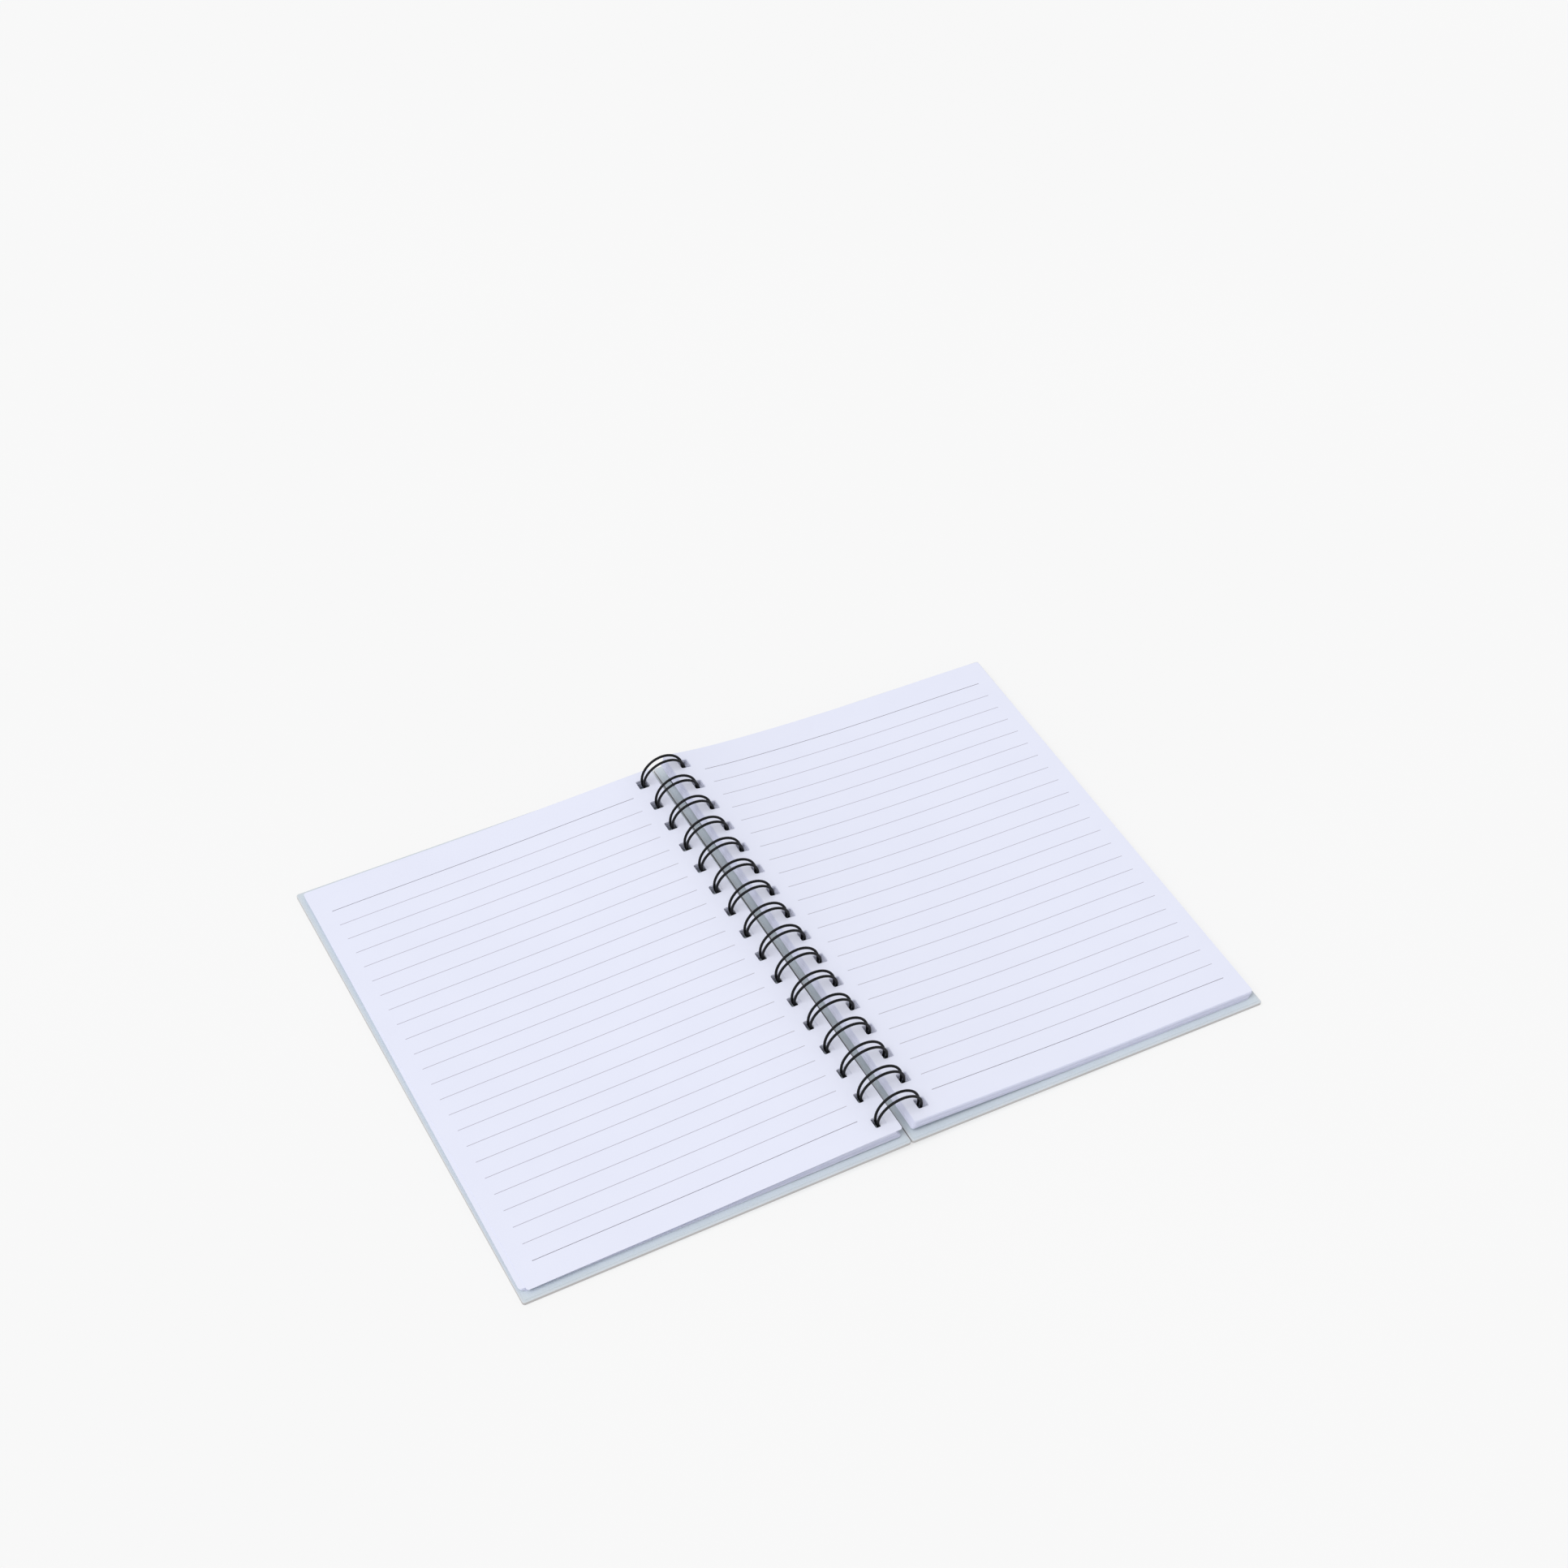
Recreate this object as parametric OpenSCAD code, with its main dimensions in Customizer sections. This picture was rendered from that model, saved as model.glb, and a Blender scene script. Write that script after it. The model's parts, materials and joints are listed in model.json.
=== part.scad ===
// Twin-loop wire-bound notebook with board covers, lying open near its middle.
// Frame: +X to the right across the open spread, +Y up the page, +Z up.
// The origin is on the table, under the middle of the wire.

/* [Covers] */
// Height of each cover, along the wire
cover_h = 211; // [200:1:230]
// Width of each cover, from the spine to the fore-edge
cover_w = 153; // [151:1:170]
// Thickness of the grey board inside each cover
board_t = 1.3; // [1:0.1:1.3]
// Thickness of the printed paper wrapped round the outside of a cover
wrap_t = 0.2; // [0.15:0.05:0.2]
// Thickness of the sheet that lines the inside of a cover
lining_t = 0.15; // [0.1:0.05:0.15]
// Width of the wrap's border that is folded in over the board
turn_in = 14; // [10:1:20]
// Radius of the cover's corners
cover_corner_r = 1; // [1:0.5:4]
// Gap between the two covers where they lie open
cover_gap = 0.3; // [0.3:0.05:0.5]
// How far both covers have slid to the right on the loops
cover_slide = 0.4; // [0:0.1:0.4]
// Height of a cover's underside above the table, at the spine
cover_lift = 2; // [2:0.05:2.1]
// Distance from a cover's edge to the edge of its lining
lining_inset = 1; // [1:0.5:6]
// Distance from a cover's spine edge to the score line on its outside
score_at = 11; // [11:0.5:16]
// Width of the score line
score_w = 0.6; // [0.4:0.1:1]
// Depth of the score line
score_depth = 0.1; // [0.05:0.01:0.12]

/* [Leaves] */
// Width of a leaf, from its punched edge to its fore-edge
leaf_w = 148; // [140:1:148]
// Height of a leaf, along the wire
leaf_h = 204; // [196:1:206]
// Thickness of one leaf
leaf_t = 0.09; // [0.06:0.01:0.09]
// Radius of a leaf's two fore-edge corners
leaf_corner_r = 1; // [0.5:0.5:4]
// Underside of the lowest and the top left leaf above the table, at the spine
left_spine_z = [4.4, 8.2]; // [4:0.1:9]
// Underside of the lowest and the top left leaf above the table, at the fore-edge
left_fore_z = [1.75, 3.55]; // [1.7:0.05:6]
// How far the left leaves have slid outwards on the loops, from the lowest up
left_slide = [0.35, 0.45]; // [-0.6:0.05:0.6]
// Turn of the left leaves on the loops, from the lowest up, in degrees
left_skew = [0.25, 0.45]; // [-0.5:0.05:0.5]
// How far the top left leaf, which lies apart from the rest, has slid outwards
left_top_slide = -0.65; // [-0.8:0.05:0.6]
// Height that the top left leaf keeps over the leaf under it
left_top_lift = 0.05; // [0.05:0.01:0.2]
// Turn of the top left leaf on the loops, in degrees
left_top_skew = -0.25; // [-0.4:0.05:0.4]
// Underside of the lowest and the top right leaf above the table, at the spine
right_spine_z = [5.6, 9]; // [4:0.1:10]
// Underside of the lowest and the top right leaf above the table, at the fore-edge
right_fore_z = [1.85, 5.25]; // [1.7:0.05:6]
// How far the right leaves have slid outwards on the loops, from the lowest up
right_slide = [0, 0.2]; // [-0.8:0.05:0.8]

/* [Wire] */
// Spacing of the loops along the spine
loop_pitch = 12.7; // [12.6:0.1:12.8]
// Outer radius of a closed loop
ring_r = 9.5; // [9.5:0.05:9.6]
// Diameter of the wire
wire_d = 1; // [0.8:0.05:1]
// Half the spacing of a loop's two wires, level with the hinge axis
twin_half = 1.03; // [1.03:0.01:1.1]
// Lean of each wire away from its twin, towards the top of the loop, in degrees
twin_lean = 3.2; // [2:0.1:3.2]
// Angle left open at the seam under the spine, in degrees
seam_angle = 14; // [10:1:20]
// Gap between the links of neighbouring loops
link_gap = 0.05; // [0.02:0.01:0.2]

/* [Punched holes] */
// Width of a leaf's hole, across the leaf
hole_w = 3.7; // [3.7:0.1:4]
// Length of a hole, along the spine
hole_l = 4.6; // [4.6:0.1:5]
// Distance from the middle of a leaf's holes to its punched edge
punch_margin = 5.95; // [5.5:0.05:6]
// Distances from a cover's spine edge to the near and the far side of its holes
cover_hole = [3.2, 8]; // [3.1:0.1:8.1]

/* [Hidden] */
$fn = 48;
loop_count = 16;
left_count = 20;
right_count = 30;
leaf_count = left_count + right_count;
wire_r = wire_d / 2;
ring_mid_r = ring_r - wire_r;
seam_wire_d = wire_d * 0.96;
seam_drop = ring_mid_r * cos(seam_angle / 2);
seam_x = ring_mid_r * sin(seam_angle / 2);
seam_y = twin_half - seam_drop * sin(twin_lean);
seam_z = ring_r - seam_drop * cos(twin_lean);
first_loop_y = (loop_count - 1) * loop_pitch / 2;
loop_ys = [for (i = [0 : loop_count - 1]) first_loop_y - i * loop_pitch];
inner_board_z = wrap_t + board_t;
cover_t = inner_board_z + lining_t;
cover_tilt = asin(cover_lift / cover_w);
paper = "#e6e8f8";
lining_blue = "#c3ccd1";
cut = 1;

function two_digits(n) = str(n < 10 ? "0" : "", n);
function leaf_name(n) = str("leaf_", two_digits(n));
function between(pair, t) = pair[0] + (pair[1] - pair[0]) * t;

// Everything on the left is built on the right and mirrored across the spine.
module on_side(side) {
    mirror([side < 0 ? 1 : 0, 0, 0]) children();
}

// ---- Wire ----

// One of a loop's two wires, from its tip round over the top to its link.
module loop_wire(hand) {
    translate([0, hand * twin_half, ring_r])
        rotate([-hand * twin_lean, 0, 0])
            rotate([90, 0, 0])
                rotate([0, 0, seam_angle / 2 - 90])
                    rotate_extrude(angle = 360 - seam_angle)
                        translate([ring_mid_r, 0])
                            circle(d = wire_d);
}

// A straight length of wire along the seam, from one side of the spine to the other.
module seam_wire(side, from_y, to_y) {
    translate([side * seam_x, from_y, seam_z])
        rotate([-90, 0, 0])
            cylinder(h = to_y - from_y, d = seam_wire_d);
}

// Two wires, joined at the tip on the right and linked to the next loops on the left.
module binding_loop(i) {
    link = (loop_pitch - link_gap) / 2;
    stub = 3 * wire_d;
    for (hand = [-1, 1])
        loop_wire(hand);
    seam_wire(1, -seam_y, seam_y);
    seam_wire(-1, i == loop_count - 1 ? -stub : -link, -seam_y);
    seam_wire(-1, seam_y, i == 0 ? stub : link);
}

module binding_wire() {
    color("#26282c")
        for (i = [0 : loop_count - 1])
            translate([0, loop_ys[i], 0])
                binding_loop(i);
}

// ---- Shapes shared by the covers and the leaves ----

// A sheet that starts at the spine edge, with rounded corners.
module sheet_outline(w, h, corner_r, inset = 0) {
    r = max(corner_r - inset, 0.5);
    x = [inset + r, w - inset - r];
    y = h / 2 - inset - r;
    hull()
        for (cx = x, cy = [-y, y])
            translate([cx, cy])
                circle(r = r, $fn = 32);
}

// A row of punched holes between two distances from the spine edge.
module hole_row(near, far) {
    for (y = loop_ys)
        translate([near, y - hole_l / 2])
            square([far - near, hole_l]);
}

// ---- Covers ----

// A cover lies tilted, with its fore-edge on the table and its spine edge lifted.
module on_cover(side) {
    on_side(side)
        translate([cover_gap / 2 + side * cover_slide, 0, cover_lift])
            rotate([0, cover_tilt, 0])
                children();
}

module cover_slab(z, t, inset = 0) {
    translate([0, 0, z])
        linear_extrude(t)
            sheet_outline(cover_w, cover_h, cover_corner_r, inset);
}

module cover_punch() {
    translate([0, 0, -cut])
        linear_extrude(cover_t + 2 * cut)
            hole_row(cover_hole[0], cover_hole[1]);
}

// The rebate round the board's inside face that the folded-in wrap lies in.
module turn_in_ring(extra = 0) {
    difference() {
        cover_slab(inner_board_z - wrap_t, wrap_t + extra);
        cover_slab(inner_board_z - wrap_t - cut, wrap_t + extra + 2 * cut, turn_in);
    }
}

module cover_board(side) {
    color("#a9a7a0")
        on_cover(side)
            difference() {
                cover_slab(wrap_t, board_t, wrap_t);
                turn_in_ring(cut);
                cover_punch();
            }
}

// Outer paper: the outside face, the four edges and the border folded in.
module cover_wrap(side) {
    color("#cfd0cc")
        on_cover(side)
            difference() {
                cover_slab(0, inner_board_z);
                difference() {
                    cover_slab(wrap_t, board_t + cut, wrap_t);
                    turn_in_ring(0);
                }
                translate([score_at, -cover_h, -cut])
                    cube([score_w, 2 * cover_h, score_depth + cut]);
                cover_punch();
            }
}

module cover_lining(side) {
    color(lining_blue)
        on_cover(side)
            difference() {
                cover_slab(inner_board_z, lining_t, lining_inset);
                cover_punch();
            }
}

// ---- Leaves ----

// A punched leaf, flat, with its punched edge on the Y axis.
module flat_leaf() {
    linear_extrude(leaf_t)
        difference() {
            sheet_outline(leaf_w, leaf_h, leaf_corner_r);
            hole_row(punch_margin - hole_w / 2, punch_margin + hole_w / 2);
        }
}

// A leaf hung on the loops: its holes follow the ring at the leaf's own height.
// A positive skew turns its fore-edge up the page.
module hung_leaf(side, spine_z, fore_z, slide, skew) {
    tilt = asin((spine_z - fore_z) / leaf_w);
    hole_z = spine_z - punch_margin * sin(tilt) + leaf_t / 2;
    hole_x = sqrt(pow(ring_mid_r, 2) - pow(ring_r - hole_z, 2));
    on_side(side)
        translate([hole_x + slide, 0, spine_z - punch_margin * sin(tilt)])
            rotate([0, tilt, 0])
                rotate([0, 0, skew])
                    translate([-punch_margin, 0, 0])
                        flat_leaf();
}

// Leaves count from the front cover: the left pile upwards, then the right pile downwards.
module leaf(n) {
    color(paper)
        if (n <= left_count) {
            t = (n - 1) / (left_count - 1);
            on_top = n == left_count;
            lift = on_top ? left_top_lift : 0;
            slide = on_top ? left_top_slide : between(left_slide, t);
            skew = on_top ? left_top_skew : between(left_skew, t);
            hung_leaf(-1, between(left_spine_z, t) + lift, between(left_fore_z, t) + lift, slide, skew);
        } else {
            t = (leaf_count - n) / (right_count - 1);
            hung_leaf(1, between(right_spine_z, t), between(right_fore_z, t), between(right_slide, t), 0);
        }
}

binding_wire();
cover_board(-1);  // front_cover_board
cover_wrap(-1);  // front_cover_wrap
cover_lining(-1);  // front_cover_lining
cover_board(1);  // back_cover_board
cover_wrap(1);  // back_cover_wrap
cover_lining(1);  // back_cover_lining
for (n = [1 : leaf_count])
    leaf(n);
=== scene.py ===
"""Looks of a twin-loop wire-bound notebook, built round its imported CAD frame."""
import json
import math
import random

import bmesh
import bpy
from mathutils import Matrix, Vector


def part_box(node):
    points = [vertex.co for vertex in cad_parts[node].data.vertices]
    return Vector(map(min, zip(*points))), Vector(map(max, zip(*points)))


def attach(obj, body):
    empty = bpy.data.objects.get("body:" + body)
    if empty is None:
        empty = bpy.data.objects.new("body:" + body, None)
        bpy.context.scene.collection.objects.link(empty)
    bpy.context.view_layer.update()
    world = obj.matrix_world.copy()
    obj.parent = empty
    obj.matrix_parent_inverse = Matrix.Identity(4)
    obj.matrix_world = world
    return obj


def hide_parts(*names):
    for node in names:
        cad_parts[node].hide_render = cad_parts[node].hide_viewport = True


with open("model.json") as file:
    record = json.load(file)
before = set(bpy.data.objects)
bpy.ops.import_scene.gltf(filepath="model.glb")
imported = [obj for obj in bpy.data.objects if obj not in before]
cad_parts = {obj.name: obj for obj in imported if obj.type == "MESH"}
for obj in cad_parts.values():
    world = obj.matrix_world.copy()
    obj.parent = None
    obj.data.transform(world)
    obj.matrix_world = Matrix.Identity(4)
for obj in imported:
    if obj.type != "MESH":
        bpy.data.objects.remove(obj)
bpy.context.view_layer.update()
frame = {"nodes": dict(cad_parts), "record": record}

# ---- Sizes, in metres ----
MM = 0.001

# Binding
LOOP_COUNT = 16
LOOP_PITCH = 12.7 * MM
LOOP_YS = [((LOOP_COUNT - 1) / 2 - i) * LOOP_PITCH for i in range(LOOP_COUNT)]

WIRE_R = 0.52 * MM                    # with its coating
RING_R = 9.0 * MM                     # wire centre line to hinge axis
RING_Z = 9.5 * MM                     # height of the hinge axis
TWIN_HALF = 1.03 * MM                 # half the distance between a loop's two wires
TWIN_LEAN = math.radians(3.2)         # how much they part towards the top
SEAM_HALF_ANGLE = math.radians(7)     # half of what a loop leaves open at its bottom
WIRE_BEND_R = 0.5 * MM
WIRE_END = 3.0 * MM                   # straight length past the first and last loops

# Leaves, flat
LEAF_T = 0.09 * MM
LEAF_W = 148 * MM
LEAF_H = 204 * MM
LEAF_CORNER_R = 1.0 * MM
HOLE_W = 3.7 * MM
HOLE_L = 4.6 * MM
HOLE_CORNER_R = 0.6 * MM
HOLE_EASE = 0.7 * MM                  # how much wider a leaf's holes are, away from the spine
PUNCH_MARGIN = 5.95 * MM              # spine edge to hole centres
LEAF_CUTS = (22, 8)                   # spans across and along a leaf, for its bends
LEAF_CROWDING = 1.15                  # above 1, the spans are narrower at the spine
CUT_MERGE = 1e-7                      # a cut this close to a point goes through it
LEFT_COUNT = 20
LEAF_COUNT = 50

# How the leaves lie at rest
LEFT_SKEW = (math.radians(0.25), math.radians(0.45))   # lowest left leaf, top of that pile
LEFT_TOP_SKEW = math.radians(-0.25)
FACING_SHIFT_Y = {LEFT_COUNT: 0.0, LEFT_COUNT + 1: 0.25 * MM}
RIGHT_SHIFT_X = -0.2 * MM             # of the right leaves below the facing page
LOOSE_X = 0.10 * MM                   # how far the leaves below the facing pages stray
LOOSE_Y = 0.16 * MM

LEFT_SAG = (0.33 * MM, 0.68 * MM)     # below the chord, mid-leaf: lowest leaf, top of the pile
TOP_LEAF_SAG = 0.58 * MM              # the same for the left facing page
TOP_LEAF_CREST = 0.30 * MM            # and how it arches up near the spine
LEFT_SLOPE = 0.5 * MM                 # at the top of the left pile: rise to the fore-edge,
LEFT_CURL = 0.6 * MM                  # fall that grows towards the fore-edge,
LEFT_TWIST = 0.12 * MM                # and fall of the fore-edge at the head of the page

SPINE_LIFT = 2.1 * MM                 # of the right pile over its chord, halfway up the spine
SPINE_LIFT_TWIST = 1.9 * MM           # more at the head of the page, less at its foot
SPINE_LIFT_LOWEST = 0.72              # share of the lift that the lowest right leaf gets
SPINE_LIFT_REACH = 16 * MM            # how fast the lift dies away across a leaf
RIGHT_SAG = (0.85 * MM, 1.00 * MM)    # below the chord, mid-leaf: lowest leaf, facing page
RIGHT_DROOP = 0.20 * MM               # of the facing page's fore-edge, halfway up
RIGHT_DROOP_TWIST = 0.30 * MM         # more at the head of the page, less at its foot

# Covers
COVER_W = 153 * MM
COVER_H = 211 * MM
COVER_GAP = 0.3 * MM
COVER_SLIDE = 0.4 * MM                # how far both covers have slid to the right
COVER_LIFT = 2.0 * MM                 # of a cover's spine edge off the table
COVER_CORNER_R = 1.0 * MM
COVER_EDGE_R = 0.3 * MM               # rounding of the wrapped edge
WRAP_T = 0.2 * MM
WRAPPED_T = 1.5 * MM                  # wrap and board together
TURN_IN = 14 * MM                     # width of the border folded in, under the lining
COVER_HOLE = (3.2 * MM, 8.0 * MM)     # from the spine edge: near side, far side
SCORE = (11 * MM, 0.6 * MM, 0.1 * MM)   # crease of the outside face: place, width and depth
SCORE_END = 0.6 * MM                  # how far the crease stops from the cover's edges

# Ruled lines, measured from a leaf's spine edge and half height
RULE_PITCH = 7.9 * MM
RULE_COUNT = 24
RULE_TOP_Y = 90.0 * MM
RULE_IN_X = 13.0 * MM
RULE_OUT_X = 141.4 * MM
RULE_WEIGHT = 0.26 * MM

# Floor and light
SPINE_SHADE = 18 * MM                 # how far from the spine the floor doesn't glow
SHADE_FADE = (6 * MM, 1 * MM)         # inside that edge, where the glow starts and is full
FLOOR_GLOW = 0.685
FLOOR_HALF = 30.0
FLOOR_DROP = 0.2 * MM                 # keeps the floor clear of the covers' undersides
SKY_STRENGTH = 0.63

JITTER = random.Random(7)


# ---- Materials ----
class Shader:
    """A Principled material with short calls for the procedural nodes it uses."""

    def __init__(self, name, roughness):
        self.mat = bpy.data.materials.new(name)
        self.mat.use_nodes = True
        self.tree = self.mat.node_tree
        self.bsdf = self.tree.nodes["Principled BSDF"]
        self.bsdf.inputs["Roughness"].default_value = roughness
        self.place = self.tree.nodes.new("ShaderNodeTexCoord").outputs["Object"]

    def link(self, source, target):
        self.tree.links.new(source, target)

    def noise(self, scale, detail, stretch=None):
        node = self.tree.nodes.new("ShaderNodeTexNoise")
        node.inputs["Scale"].default_value = scale
        node.inputs["Detail"].default_value = detail
        if stretch is None:
            self.link(self.place, node.inputs["Vector"])
        else:
            mapping = self.tree.nodes.new("ShaderNodeMapping")
            mapping.inputs["Scale"].default_value = stretch
            self.link(self.place, mapping.inputs["Vector"])
            self.link(mapping.outputs["Vector"], node.inputs["Vector"])
        return node.outputs["Fac"]

    def math(self, operation, *values):
        node = self.tree.nodes.new("ShaderNodeMath")
        node.operation = operation
        for value, socket in zip(values, node.inputs):
            if isinstance(value, (int, float)):
                socket.default_value = value
            else:
                self.link(value, socket)
        return node.outputs["Value"]

    def spread(self, source, low, high, out_low=0.0, out_high=1.0):
        """Maps low..high of a value to out_low..out_high, held at both ends."""
        node = self.tree.nodes.new("ShaderNodeMapRange")
        numbers = (low, high, out_low, out_high)
        names = ("From Min", "From Max", "To Min", "To Max")
        for socket, number in zip(names, numbers):
            node.inputs[socket].default_value = number
        self.link(source, node.inputs["Value"])
        return node.outputs["Result"]

    def mix(self, factor, a, b):
        node = self.tree.nodes.new("ShaderNodeMix")
        node.data_type = "RGBA"
        self.link(factor, node.inputs["Factor"])
        for value, socket in ((a, node.inputs[6]), (b, node.inputs[7])):
            if isinstance(value, tuple):
                socket.default_value = (*value, 1.0)
            else:
                self.link(value, socket)
        return node.outputs[2]

    def flatness(self):
        """1 on a sheet's two faces, 0 on its edges."""
        split = self.tree.nodes.new("ShaderNodeSeparateXYZ")
        coords = self.tree.nodes.new("ShaderNodeTexCoord")
        self.link(coords.outputs["Normal"], split.inputs["Vector"])
        return self.math("ABSOLUTE", split.outputs["Z"])

    def colour(self, source):
        self.link(source, self.bsdf.inputs["Base Color"])

    def roughness(self, source):
        self.link(source, self.bsdf.inputs["Roughness"])

    def bump(self, height, strength, distance):
        node = self.tree.nodes.new("ShaderNodeBump")
        node.inputs["Strength"].default_value = strength
        node.inputs["Distance"].default_value = distance
        self.link(height, node.inputs["Height"])
        self.link(node.outputs["Normal"], self.bsdf.inputs["Normal"])


def rule_masks(shader):
    """Where the ruled lines are printed, and where the darker first and last ones are."""
    uv = shader.tree.nodes.new("ShaderNodeUVMap")
    uv.uv_map = "page"
    split = shader.tree.nodes.new("ShaderNodeSeparateXYZ")
    shader.link(uv.outputs["UV"], split.inputs["Vector"])
    across, up = split.outputs["X"], split.outputs["Y"]
    step = shader.math("DIVIDE", shader.math("SUBTRACT", RULE_TOP_Y, up), RULE_PITCH)
    nearest = shader.math("ROUND", step)
    off = shader.math("ABSOLUTE", shader.math("SUBTRACT", step, nearest))
    half = RULE_WEIGHT / 2 / RULE_PITCH
    line = shader.spread(off, half * 1.25, half * 0.75)
    inside = shader.math("GREATER_THAN", across, RULE_IN_X)
    inside = shader.math("MULTIPLY", inside, shader.math("LESS_THAN", across, RULE_OUT_X))
    inside = shader.math("MULTIPLY", inside, shader.math("GREATER_THAN", nearest, -0.5))
    last = RULE_COUNT - 1
    inside = shader.math("MULTIPLY", inside, shader.math("LESS_THAN", nearest, last + 0.5))
    line = shader.math("MULTIPLY", line, inside)
    ends = shader.math("LESS_THAN", nearest, 0.5)
    ends = shader.math("MAXIMUM", ends, shader.math("GREATER_THAN", nearest, last - 0.5))
    return line, ends


def paper_material():
    s = Shader("ruled_writing_paper", 0.82)
    cloud = s.spread(s.noise(60, 3), 0.3, 0.7)
    fibre = s.noise(5200, 3, stretch=(1.0, 0.35, 1.0))
    base = s.mix(cloud, (0.776, 0.797, 0.930), (0.786, 0.807, 0.938))
    line, ends = rule_masks(s)
    worn = s.spread(s.noise(1500, 2), 0.3, 0.7, 0.80, 1.0)
    ink = s.mix(ends, (0.40, 0.385, 0.46), (0.19, 0.175, 0.22))
    s.colour(s.mix(s.math("MULTIPLY", line, worn), base, ink))
    s.roughness(s.spread(fibre, 0.3, 0.7, 0.76, 0.90))
    s.bump(fibre, 0.2, 0.015 * MM)
    s.bsdf.inputs["Specular IOR Level"].default_value = 0.25
    return s.mat


def lining_material():
    s = Shader("blue_grey_lining_paper", 0.3)
    cloud = s.spread(s.noise(90, 4), 0.3, 0.7)
    fibre = s.noise(3800, 4, stretch=(0.3, 1.0, 1.0))
    tone = s.mix(cloud, (0.605, 0.670, 0.725), (0.630, 0.695, 0.750))
    flecks = s.spread(s.noise(2200, 2), 0.62, 0.72)
    s.colour(s.mix(s.math("MULTIPLY", flecks, 0.2), tone, (0.50, 0.57, 0.61)))
    s.roughness(s.spread(fibre, 0.3, 0.7, 0.24, 0.36))
    s.bump(fibre, 0.15, 0.01 * MM)
    return s.mat


def wrap_material():
    """Blue-grey like the lining on its faces; where it turns round the edges, a darker warmer grey
    is painted shade.
    """
    s = Shader("satin_laminated_wrap", 0.4)
    cloud = s.spread(s.noise(60, 4), 0.3, 0.7)
    grain = s.noise(2600, 5)
    face = s.mix(cloud, (0.605, 0.655, 0.70), (0.63, 0.68, 0.725))
    # painted shade: the rounded edges and sides, which face away from up or down, get a darker
    # warm grey
    edge = s.mix(cloud, (0.47, 0.455, 0.455), (0.51, 0.495, 0.495))
    tone = s.mix(s.spread(s.flatness(), 0.3, 0.8), edge, face)
    scuff = s.spread(s.noise(700, 6), 0.60, 0.78)
    s.colour(s.mix(s.math("MULTIPLY", scuff, 0.25), tone, (0.62, 0.63, 0.64)))
    s.roughness(s.spread(grain, 0.3, 0.7, 0.32, 0.48))
    s.bump(grain, 0.2, 0.02 * MM)
    return s.mat


def board_material():
    s = Shader("grey_board", 0.95)
    layers = s.noise(900, 4, stretch=(1.0, 1.0, 6.0))
    specks = s.spread(s.noise(2600, 3), 0.55, 0.75)
    tone = s.mix(layers, (0.30, 0.29, 0.26), (0.44, 0.43, 0.39))
    s.colour(s.mix(specks, tone, (0.20, 0.19, 0.17)))
    s.bump(layers, 0.6, 0.08 * MM)
    return s.mat


def wire_material():
    s = Shader("black_coated_wire", 0.5)
    peel = s.noise(2400, 2)
    dust = s.spread(s.noise(420, 5), 0.58, 0.82)
    s.colour(s.mix(s.math("MULTIPLY", dust, 0.3), (0.004, 0.004, 0.005), (0.018, 0.018, 0.021)))
    s.roughness(s.spread(peel, 0.35, 0.65, 0.44, 0.56))
    s.bump(peel, 0.12, 0.02 * MM)
    s.bsdf.inputs["Specular IOR Level"].default_value = 0.2
    return s.mat


def floor_material():
    """A light table: it glows evenly, except under the spine, so that shadows on it stay faint."""
    s = Shader("light_table", 0.9)
    tone = s.spread(s.noise(3, 2), 0.3, 0.7)
    s.colour(s.mix(tone, (0.246, 0.246, 0.246), (0.254, 0.254, 0.254)))
    split = s.tree.nodes.new("ShaderNodeSeparateXYZ")
    s.link(s.place, split.inputs["Vector"])
    past = [
        s.math("SUBTRACT", s.math("ABSOLUTE", split.outputs[axis]), reach)
        for axis, reach in (("X", SPINE_SHADE), ("Y", COVER_H / 2))
    ]
    outside = s.spread(s.math("MAXIMUM", *past), -SHADE_FADE[0], -SHADE_FADE[1])
    s.bsdf.inputs["Specular IOR Level"].default_value = 0.0
    s.bsdf.inputs["Emission Color"].default_value = (1.0, 1.0, 1.0, 1.0)
    s.link(s.math("MULTIPLY", outside, FLOOR_GLOW), s.bsdf.inputs["Emission Strength"])
    return s.mat


# ---- Mesh helpers ----
def new_object(name, bm, material):
    data = bpy.data.meshes.new(name)
    bm.to_mesh(data)
    bm.free()
    data.materials.append(material)
    obj = bpy.data.objects.new(name, data)
    bpy.context.scene.collection.objects.link(obj)
    return obj


def rounded_rectangle(low, high, radius, steps=6):
    """Corner-rounded outline, anticlockwise, between two (x, y) corners."""
    centres = [
        (high[0] - radius, high[1] - radius, 0),
        (low[0] + radius, high[1] - radius, 1),
        (low[0] + radius, low[1] + radius, 2),
        (high[0] - radius, low[1] + radius, 3),
    ]
    points = []
    for x, y, quarter in centres:
        for k in range(steps + 1):
            a = (quarter + k / steps) * math.pi / 2
            points.append((x + radius * math.cos(a), y + radius * math.sin(a)))
    return points


def hole_outlines(near, far):
    half = HOLE_L / 2
    return [
        rounded_rectangle((near, y - half), (far, y + half), HOLE_CORNER_R)
        for y in LOOP_YS
    ]


def filled(outlines):
    """A flat bmesh bounded by the first outline, with the others as holes."""
    bm = bmesh.new()
    edges = []
    for outline in outlines:
        ring = [bm.verts.new((x, y, 0.0)) for x, y in outline]
        edges += [bm.edges.new((a, b)) for a, b in zip(ring, ring[1:] + ring[:1])]
    bmesh.ops.triangle_fill(bm, use_beauty=True, use_dissolve=False, edges=edges)
    for face in bm.faces:
        if face.normal.z < 0:
            face.normal_flip()
    return bm


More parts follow.
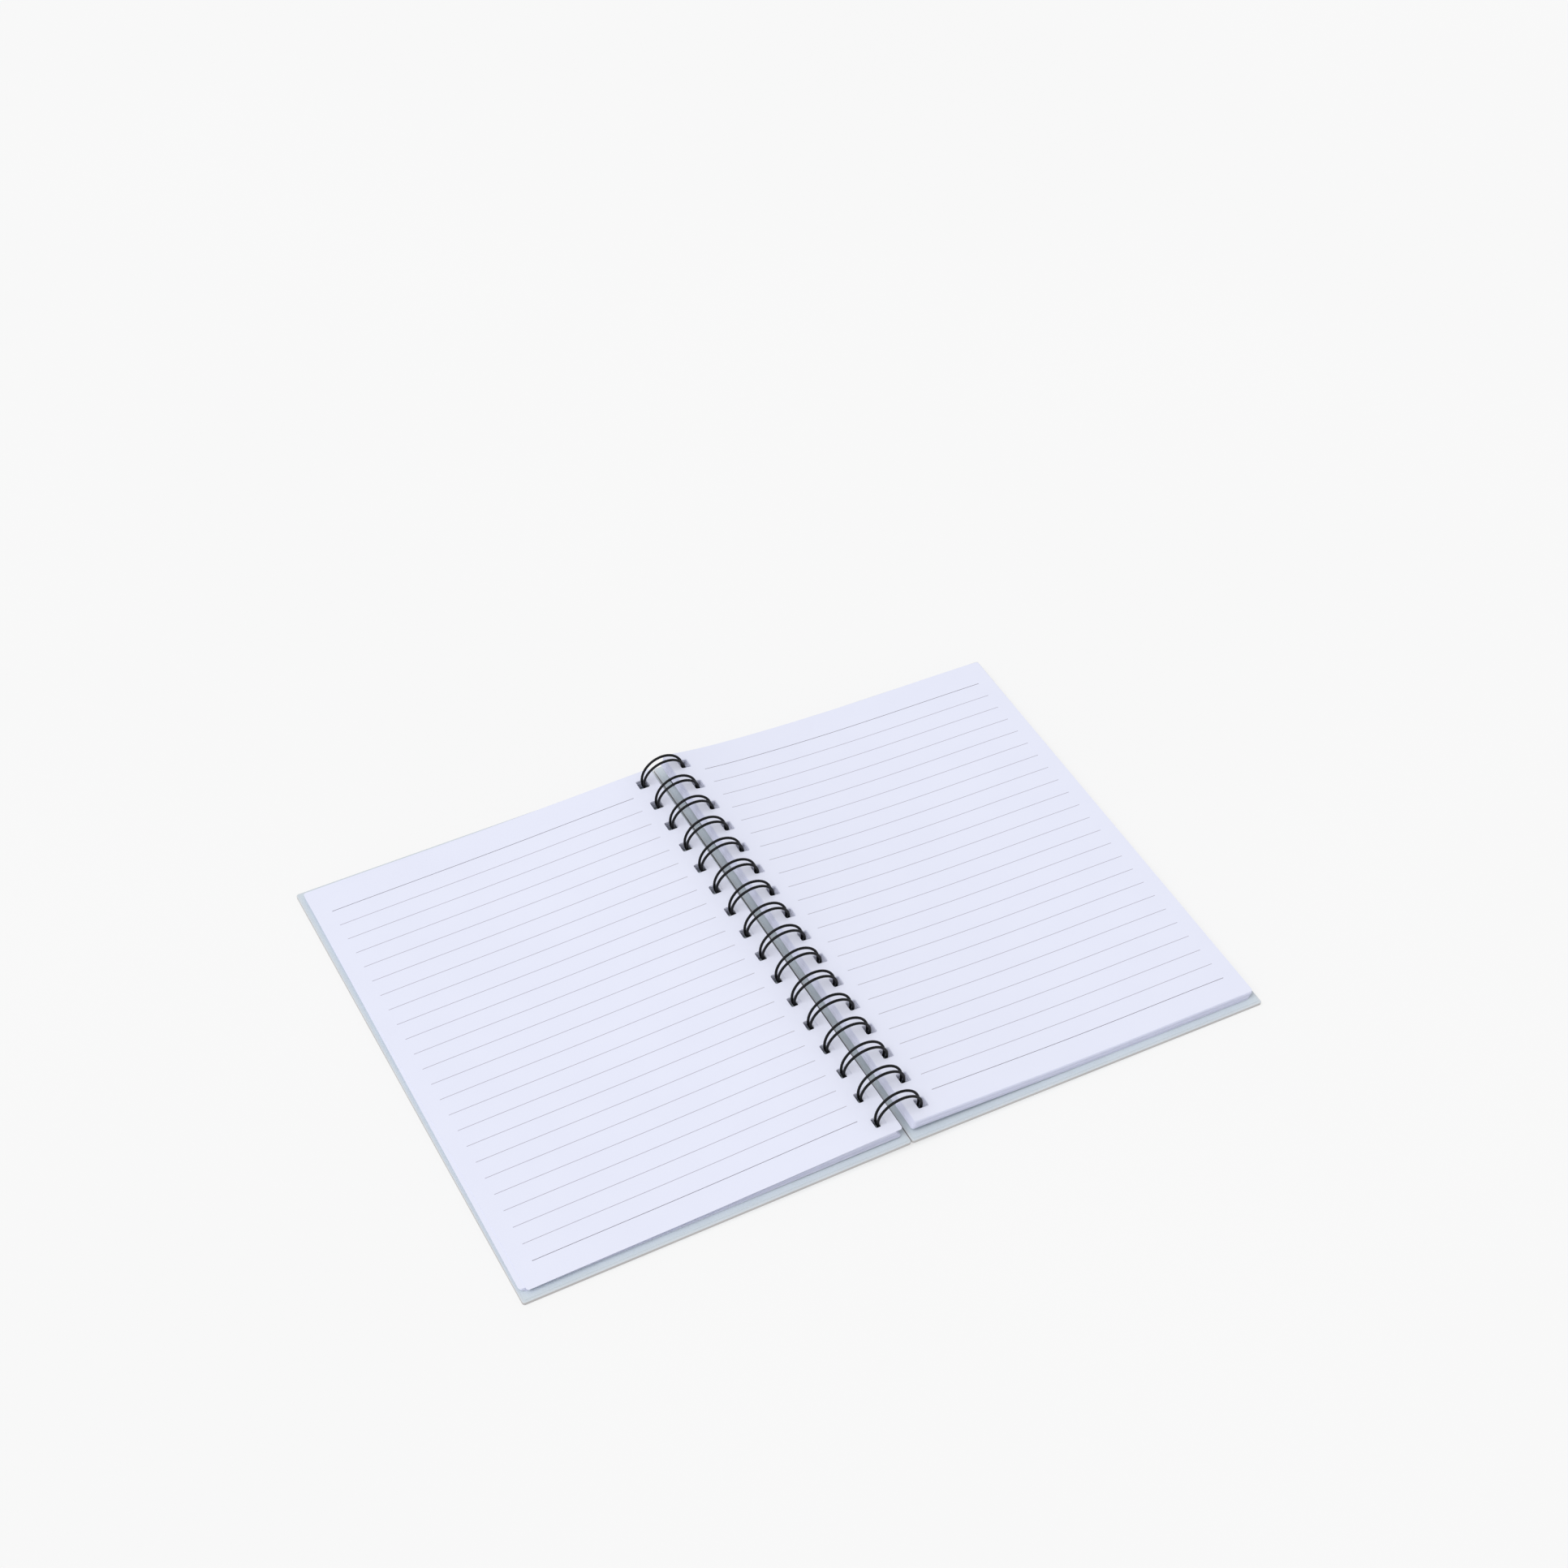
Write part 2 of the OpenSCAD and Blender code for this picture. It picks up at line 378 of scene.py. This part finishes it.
def cut_across(bm, axis, places):
    """Adds edges where the mesh crosses the planes at these places."""
    normal = Vector((1, 0, 0)) if axis == 0 else Vector((0, 1, 0))
    for place in places:
        geometry = bm.verts[:] + bm.edges[:] + bm.faces[:]
        bmesh.ops.bisect_plane(
            bm, geom=geometry, dist=CUT_MERGE, plane_co=normal * place, plane_no=normal
        )


# ---- Leaves ----
def leaf_template():
    """A flat punched leaf, finely cut so that it can bend, with its size kept in a UV map."""
    outer = rounded_rectangle((0, -LEAF_H / 2), (LEAF_W, LEAF_H / 2), LEAF_CORNER_R)
    hole = (PUNCH_MARGIN - HOLE_W / 2, PUNCH_MARGIN + HOLE_W / 2 + HOLE_EASE)
    bm = filled([outer] + hole_outlines(*hole))
    columns, rows = LEAF_CUTS
    cut_across(bm, 0, [LEAF_W * (k / columns) ** LEAF_CROWDING for k in range(1, columns)])
    cut_across(bm, 1, [LEAF_H * (k / rows - 0.5) for k in range(1, rows)])
    top = bm.faces[:]
    grown = bmesh.ops.extrude_face_region(bm, geom=top)["geom"]
    for vert in (g for g in grown if isinstance(g, bmesh.types.BMVert)):
        vert.co.z += LEAF_T
    for face in top:
        face.normal_flip()
    bmesh.ops.recalc_face_normals(bm, faces=bm.faces[:])
    layer = bm.loops.layers.uv.new("page")
    for face in bm.faces:
        flat = abs(face.normal.z) > 0.5
        face.smooth = flat
        for loop in face.loops:
            loop[layer].uv = loop.vert.co.xy
            if not flat:
                loop.edge.smooth = False
    return bm


def between(pair, rank):
    """From the value for the lowest leaf of a pile to the value for its top."""
    return pair[0] + (pair[1] - pair[0]) * rank


def leaf_lie(n):
    """Where leaf n lies: its side, rank in the pile from 0 to 1, turn, edges and heights."""
    low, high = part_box(f"leaf_{n:02d}")
    if n <= LEFT_COUNT:
        side, rank = -1, (n - 1) / (LEFT_COUNT - 1)
        skew = LEFT_TOP_SKEW if n == LEFT_COUNT else between(LEFT_SKEW, rank)
        near, far = -high.x, -low.x
    else:
        side, rank = 1, (LEAF_COUNT - n) / (LEAF_COUNT - LEFT_COUNT - 1)
        skew, near, far = 0.0, low.x, high.x
    swing = LEAF_H / 2 * abs(math.sin(skew))
    return side, rank, skew, near + swing, far - swing, high.z - LEAF_T, low.z


def left_bend(rank, across, up):
    """Height of a left leaf over its straight chord: the pile hangs, the top leaf less."""
    arch = math.sin(math.pi * across)
    if rank == 1:
        height = TOP_LEAF_CREST * arch * (1 - across) ** 2 - TOP_LEAF_SAG * arch ** 2
    else:
        height = -between(LEFT_SAG, rank) * arch ** 2
    rise = (LEFT_SLOPE - LEFT_CURL * across - LEFT_TWIST * up) * across
    return height + rank * rise


def right_bend(rank, across, up):
    """Height of a right leaf over its chord: it lifts at the spine, most at the head."""
    arch = math.sin(math.pi * across)
    share = between((SPINE_LIFT_LOWEST, 1.0), rank ** 4)
    lift = (SPINE_LIFT + SPINE_LIFT_TWIST * up) * math.exp(-across * LEAF_W / SPINE_LIFT_REACH)
    droop = (RIGHT_DROOP + RIGHT_DROOP_TWIST * up) * across * rank
    return share * lift - droop - between(RIGHT_SAG, rank) * arch ** 2


def make_leaf(n, template, paper):
    """Bends a copy of the flat leaf to where leaf n lies in its pile."""
    side, rank, skew, near, far, spine_z, fore_z = leaf_lie(n)
    bend = left_bend if side < 0 else right_bend
    shift_x, shift_y = LOOSE_X * JITTER.uniform(-1, 1), LOOSE_Y * JITTER.uniform(-1, 1)
    if n in FACING_SHIFT_Y:
        shift_x, shift_y = 0.0, FACING_SHIFT_Y[n]
    elif side > 0:
        shift_x += RIGHT_SHIFT_X
    bm = template.copy()
    for vert in bm.verts:
        out, up = vert.co.x - PUNCH_MARGIN, vert.co.y
        x = near + PUNCH_MARGIN + out * math.cos(skew) - up * math.sin(skew) + shift_x
        y = up * math.cos(skew) + out * math.sin(skew) + shift_y
        across = (x - near) / (far - near)
        height = spine_z + (fore_z - spine_z) * across + bend(rank, across, y / (LEAF_H / 2))
        vert.co = Vector((side * x, y, height + vert.co.z))
    if side < 0:
        bmesh.ops.reverse_faces(bm, faces=bm.faces[:])
    name = f"leaf_{n:02d}"
    piece = new_object(f"ruled_{name}", bm, paper)
    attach(piece, body_with(name))
    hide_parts(name)


def body_with(node):
    """The moving body that a CAD node belongs to."""
    bodies = frame["record"]["behaviour"]["bodies"]
    return next(body for body, nodes in bodies.items() if node in nodes)


# ---- Wire ----
def ring_points(y, hand, start, end, steps=44):
    """Points over the top of a loop, leaning away from its twin."""
    points = []
    for k in range(steps + 1):
        a = start + (end - start) * k / steps
        rise = RING_R * math.sin(a)
        out = hand * (TWIN_HALF + rise * math.sin(TWIN_LEAN))
        points.append(Vector((RING_R * math.cos(a), y + out, RING_Z + rise * math.cos(TWIN_LEAN))))
    return points


def rounded_corners(points, radius, steps=5):
    """Replaces each sharp corner of a path by a short curve."""
    path = [points[0]]
    for before, corner, after in zip(points, points[1:], points[2:]):
        into, out = (corner - before), (after - corner)
        if into.angle(out) < math.radians(40):
            path.append(corner)
            continue
        start = corner - into.normalized() * min(radius, into.length * 0.48)
        end = corner + out.normalized() * min(radius, out.length * 0.48)
        for k in range(steps + 1):
            t = k / steps
            path.append(start.lerp(corner, t).lerp(corner.lerp(end, t), t))
    path.append(points[-1])
    return path


def wire_path():
    """The one length of wire: along the seam, over each loop to its tip, back, and on."""
    left = math.radians(270) - SEAM_HALF_ANGLE
    right = math.radians(-90) + SEAM_HALF_ANGLE
    path = []
    for i, y in enumerate(LOOP_YS):
        out = ring_points(y, 1, left, right)
        back = ring_points(y, -1, right, left)
        if i == 0:
            path.append(out[0] + Vector((0, WIRE_END, 0)))
        path += out + back
        if i == LOOP_COUNT - 1:
            path.append(back[-1] - Vector((0, WIRE_END, 0)))
    return rounded_corners(path, WIRE_BEND_R)


def swept_tube(points, radius, sides=14):
    """A closed round tube along a path, with rounded ends."""
    bm = bmesh.new()
    ends = [(-0.9, 0.45), (-0.55, 0.84), (0.0, 1.0)]
    first = (points[1] - points[0]).normalized()
    last = (points[-1] - points[-2]).normalized()
    stations = [(points[0] + first * radius * a, r) for a, r in ends]
    stations += [(p, 1.0) for p in points[1:-1]]
    stations += [(points[-1] - last * radius * a, r) for a, r in reversed(ends)]
    across = first.orthogonal().normalized()
    rings = []
    for k, (place, scale) in enumerate(stations):
        ahead = stations[min(k + 1, len(stations) - 1)][0]
        behind = stations[max(k - 1, 0)][0]
        along = (ahead - behind).normalized()
        across = (across - along * across.dot(along)).normalized()
        side = along.cross(across)
        ring = []
        for j in range(sides):
            a = 2 * math.pi * j / sides
            offset = across * math.cos(a) + side * math.sin(a)
            ring.append(bm.verts.new(place + offset * radius * scale))
        rings.append(ring)
    for a, b in zip(rings, rings[1:]):
        for j in range(sides):
            k = (j + 1) % sides
            bm.faces.new((a[j], a[k], b[k], b[j])).smooth = True
    bm.faces.new(rings[0][::-1])
    bm.faces.new(rings[-1])
    bmesh.ops.recalc_face_normals(bm, faces=bm.faces[:])
    return bm


def make_wire():
    piece = new_object("binding_wire_coil", swept_tube(wire_path(), WIRE_R), wire_material())
    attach(piece, "binding")
    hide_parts("binding_wire")


# ---- Covers ----
def cover_outline(inset, z):
    """The cover's outline, drawn in by some distance, as points at one height."""
    radius = max(COVER_CORNER_R - inset, 0.3 * MM)
    low, high = (inset, inset - COVER_H / 2), (COVER_W - inset, COVER_H / 2 - inset)
    return [(x, y, z) for x, y in rounded_rectangle(low, high, radius)]


def edge_outlines():
    """The wrapped edge as outlines, from the inside face round to the outside face."""
    quarter = [math.radians(90 * k / 5) for k in range(6)]
    r = COVER_EDGE_R
    top = [(r - r * math.sin(a), WRAPPED_T - r + r * math.cos(a)) for a in quarter]
    bottom = [(r - r * math.cos(a), r - r * math.sin(a)) for a in quarter]
    return [cover_outline(inset, z) for inset, z in top + bottom]


def score_outlines():
    """The crease beside the holes, as an outline on the outside face and one at its bottom."""
    place, width, depth = SCORE
    reach = COVER_H / 2 - SCORE_END
    outlines = []
    for half, z in ((width / 2, 0.0), (width / 6, depth)):
        corners = ((-half, -reach), (half, -reach), (half, reach), (-half, reach))
        outlines.append([(place + x, y, z) for x, y in corners])
    return outlines


class Skin:
    """Builds a closed skin from rings of points, walls between rings, and filled faces."""

    def __init__(self):
        self.bm = bmesh.new()

    def ring(self, points):
        return [self.bm.verts.new(point) for point in points]

    def walls(self, rings, smooth=False):
        for a, b in zip(rings, rings[1:]):
            for i in range(len(a)):
                j = (i + 1) % len(a)
                self.bm.faces.new((a[i], a[j], b[j], b[i])).smooth = smooth

    def fill(self, rings):
        edges = []
        for ring in rings:
            for a, b in zip(ring, ring[1:] + ring[:1]):
                edges.append(self.bm.edges.get((a, b)) or self.bm.edges.new((a, b)))
        bmesh.ops.triangle_fill(self.bm, use_beauty=True, use_dissolve=False, edges=edges)


def wrap_skin():
    """The outer paper: creased outside face, rounded edges and folded-in border, all punched."""
    skin = Skin()
    inside_z = WRAPPED_T - WRAP_T
    edge = [skin.ring(points) for points in edge_outlines()]
    lining = [skin.ring(cover_outline(WRAP_T, z)) for z in (inside_z, WRAP_T)]
    border = [skin.ring(cover_outline(TURN_IN, z)) for z in (inside_z, WRAPPED_T)]
    score = [skin.ring(points) for points in score_outlines()]
    holes = []
    for outline in hole_outlines(*COVER_HOLE):
        heights = (0.0, WRAP_T, inside_z, WRAPPED_T)
        holes.append([skin.ring([(x, y, z) for x, y in outline]) for z in heights])
    skin.walls(edge, smooth=True)
    skin.walls(lining)
    skin.walls(border)
    for hole in holes:
        skin.walls(hole[:2])
        skin.walls(hole[2:])
    skin.walls(score)
    skin.fill([score[1]])
    skin.fill([edge[-1], score[0]] + [hole[0] for hole in holes])
    skin.fill([lining[1]] + [hole[1] for hole in holes])
    skin.fill([lining[0], border[0]] + [hole[2] for hole in holes])
    skin.fill([edge[0], border[1]] + [hole[3] for hole in holes])
    bmesh.ops.recalc_face_normals(skin.bm, faces=skin.bm.faces[:])
    return skin.bm


def on_cover(bm, side):
    """Moves a shape from the cover's own flat frame to where the cover lies."""
    tilt = Matrix.Rotation(math.asin(COVER_LIFT / COVER_W), 4, "Y")
    spine_x = COVER_GAP / 2 + side * COVER_SLIDE
    place = Matrix.Translation((spine_x, 0, COVER_LIFT)) @ tilt
    bmesh.ops.transform(bm, verts=bm.verts[:], matrix=Matrix.Diagonal((side, 1, 1, 1)) @ place)
    if side < 0:
        bmesh.ops.reverse_faces(bm, faces=bm.faces[:])


def make_cover(side, name, wrap, lining, board):
    bm = wrap_skin()
    on_cover(bm, side)
    piece = new_object(f"{name}_folded_wrap", bm, wrap)
    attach(piece, name)
    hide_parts(f"{name}_wrap")
    set_material(f"{name}_lining", lining)
    set_material(f"{name}_board", board)


def set_material(node, mat):
    obj = frame["nodes"][node]
    if not obj.material_slots:
        obj.data.materials.append(mat)
    for slot in obj.material_slots:
        slot.material = mat


# ---- Studio ----
def make_floor():
    bm = bmesh.new()
    bmesh.ops.create_grid(bm, x_segments=1, y_segments=1, size=FLOOR_HALF)
    bmesh.ops.translate(bm, verts=bm.verts[:], vec=(0, 0, -FLOOR_DROP))
    new_object("studio_floor", bm, floor_material())


def soft_sun(name, aim_from, spread, power):
    """An even light from one side of the sky, as soft as a large diffuser."""
    data = bpy.data.lights.new(name, "SUN")
    data.energy = power
    data.angle = math.radians(spread)
    obj = bpy.data.objects.new(name, data)
    obj.rotation_euler = Vector(aim_from).to_track_quat("Z", "Y").to_euler()
    bpy.context.scene.collection.objects.link(obj)


def make_studio():
    make_floor()
    world = bpy.data.worlds.new("soft_white")
    world.use_nodes = True
    sky = world.node_tree.nodes["Background"]
    sky.inputs["Color"].default_value = (1.0, 1.0, 1.0, 1.0)
    sky.inputs["Strength"].default_value = SKY_STRENGTH
    scene = bpy.context.scene
    scene.world = world
    scene.view_settings.view_transform = "Standard"
    soft_sun("left_diffuser", (-0.6, -0.15, 1.0), 35, 1.45)


def make_camera():
    azimuth, elevation, roll = (math.radians(a) for a in (-30.29, 45.04, 3.14))
    distance, focus = 1.1695, Vector((0.04598, 0.07782, 0.0))
    back = Vector((
        math.sin(azimuth) * math.cos(elevation),
        -math.cos(azimuth) * math.cos(elevation),
        math.sin(elevation),
    ))
    right = (-back).cross(Vector((0, 0, 1))).normalized()
    up = right.cross(-back)
    right, up = (
        right * math.cos(roll) + up * math.sin(roll),
        up * math.cos(roll) - right * math.sin(roll),
    )
    data = bpy.data.cameras.new("camera")
    data.sensor_width = 36.0
    data.lens = 66.37
    camera = bpy.data.objects.new("camera", data)
    turn = Matrix((right, up, back)).transposed().to_4x4()
    camera.matrix_world = Matrix.Translation(focus + back * distance) @ turn
    bpy.context.scene.collection.objects.link(camera)
    bpy.context.scene.camera = camera


make_camera()
make_studio()
make_wire()
wrap, lining, board = wrap_material(), lining_material(), board_material()
for side, name in ((-1, "front_cover"), (1, "back_cover")):
    make_cover(side, name, wrap, lining, board)
paper, template = paper_material(), leaf_template()
for number in range(1, LEAF_COUNT + 1):
    make_leaf(number, template, paper)
template.free()
